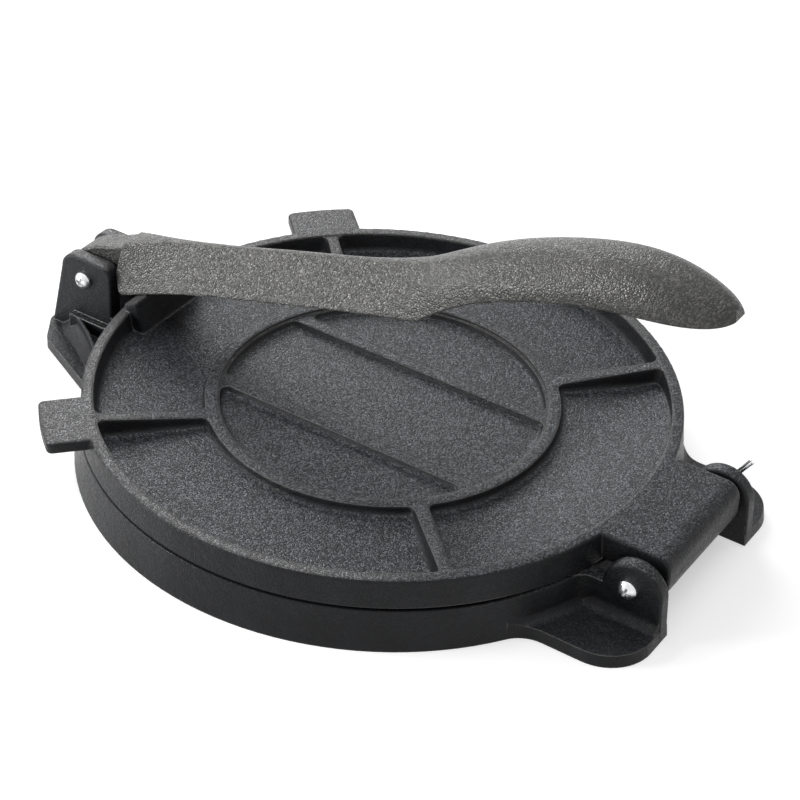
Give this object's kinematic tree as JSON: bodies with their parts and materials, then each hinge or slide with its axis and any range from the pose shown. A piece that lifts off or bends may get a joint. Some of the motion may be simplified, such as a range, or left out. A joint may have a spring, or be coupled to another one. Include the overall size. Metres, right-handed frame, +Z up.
{
  "type": "tortilla press",
  "caption": "Round cast iron tortilla press: a lever held in two ears pushes a ribbed, hinged upper plate down on a flat base plate.",
  "frame": {"origin": "middle of the footprint, on the surface that the press stands on", "axes": "+X from the lever's ears to the hinge of the upper plate, +Z up, Y along both pins; the screw heads are on the side of -Y"},
  "size_m": [0.2646, 0.2104, 0.1153],
  "materials": {
    "cast_iron": "seasoned sand casting, satin",
    "zinc_plated_steel": "bright zinc plating"
  },
  "bodies": {
    "base": {"lower_plate": "cast_iron", "hinge_screw": "zinc_plated_steel", "lever_screw": "zinc_plated_steel", "hinge_split_pin": "zinc_plated_steel", "lever_split_pin": "zinc_plated_steel"},
    "upper_plate": {"upper_plate": "cast_iron"},
    "lever": {"lever": "cast_iron"}
  },
  "joints": [
    {"name": "lever_pivot", "type": "hinge", "parent": "base", "child": "lever", "pos_m": [-0.11575, 0, 0.0271], "axis": [0, -1, 0], "range_deg": [0, 160]},
    {"name": "plate_hinge", "type": "hinge", "parent": "base", "child": "upper_plate", "pos_m": [0.11945, 0, 0.0164], "axis": [0, 1, 0], "range_deg": [0, 110]}
  ],
  "couplings": [
    {"joint": "plate_hinge", "follows": "lever_pivot", "ratio": 0.115}
  ]
}
